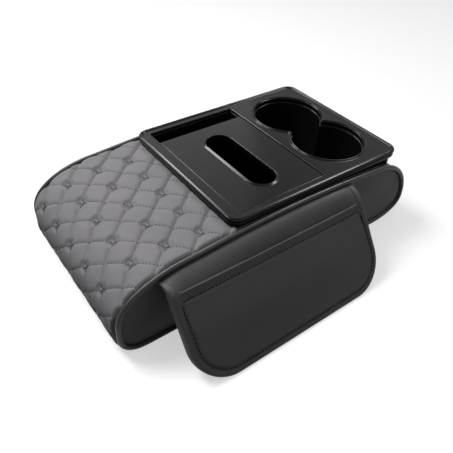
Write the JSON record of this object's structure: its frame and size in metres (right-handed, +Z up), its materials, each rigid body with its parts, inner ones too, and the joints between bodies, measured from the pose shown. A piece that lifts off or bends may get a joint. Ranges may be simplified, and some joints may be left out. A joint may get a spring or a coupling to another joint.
{
  "type": "car centre armrest",
  "caption": "Padded car armrest with a quilted nose, a moulded tray with a tissue well, a phone slot and cup wells, and an open side pocket.",
  "frame": {"origin": "centre of the pad's flat underside, on the surface that it stands on", "axes": "+Z up out of the underside, +X from the quilted nose to the cup wells, -Y toward the side pocket"},
  "size_m": [0.3803, 0.2635, 0.0993],
  "materials": {
    "quilted_leatherette": "soft satin, quilted",
    "black_leatherette": "fine grain, satin",
    "piping_leatherette": "satin",
    "tray_plastic": "satin black",
    "foam": "open-cell foam",
    "fibreboard": "plain board",
    "base_fabric": "non-slip fabric",
    "screw_steel": "zinc-plated"
  },
  "bodies": {
    "base": {"quilted_cover": "quilted_leatherette", "rear_cover": "black_leatherette", "side_panel_near": "black_leatherette", "side_panel_far": "black_leatherette", "piping_near": "piping_leatherette", "piping_far": "piping_leatherette", "foam_core": "foam", "base_board": "fibreboard", "base_cover": "base_fabric", "console_tray": "tray_plastic", "tray_screw_1": "screw_steel", "tray_screw_2": "screw_steel", "tray_screw_3": "screw_steel", "tray_screw_4": "screw_steel", "tray_screw_5": "screw_steel", "tray_screw_6": "screw_steel", "pocket_front": "black_leatherette", "pocket_hem": "black_leatherette", "pocket_backing": "black_leatherette", "pocket_board": "fibreboard", "pocket_lining": "base_fabric", "pocket_binding": "black_leatherette"},
    "lid": {"tissue_lid": "tray_plastic"}
  },
  "joints": [
    {"name": "lid_lift", "type": "slide", "parent": "base", "child": "lid", "axis": [0, 0, 1], "range_m": [0, 0.06]}
  ]
}
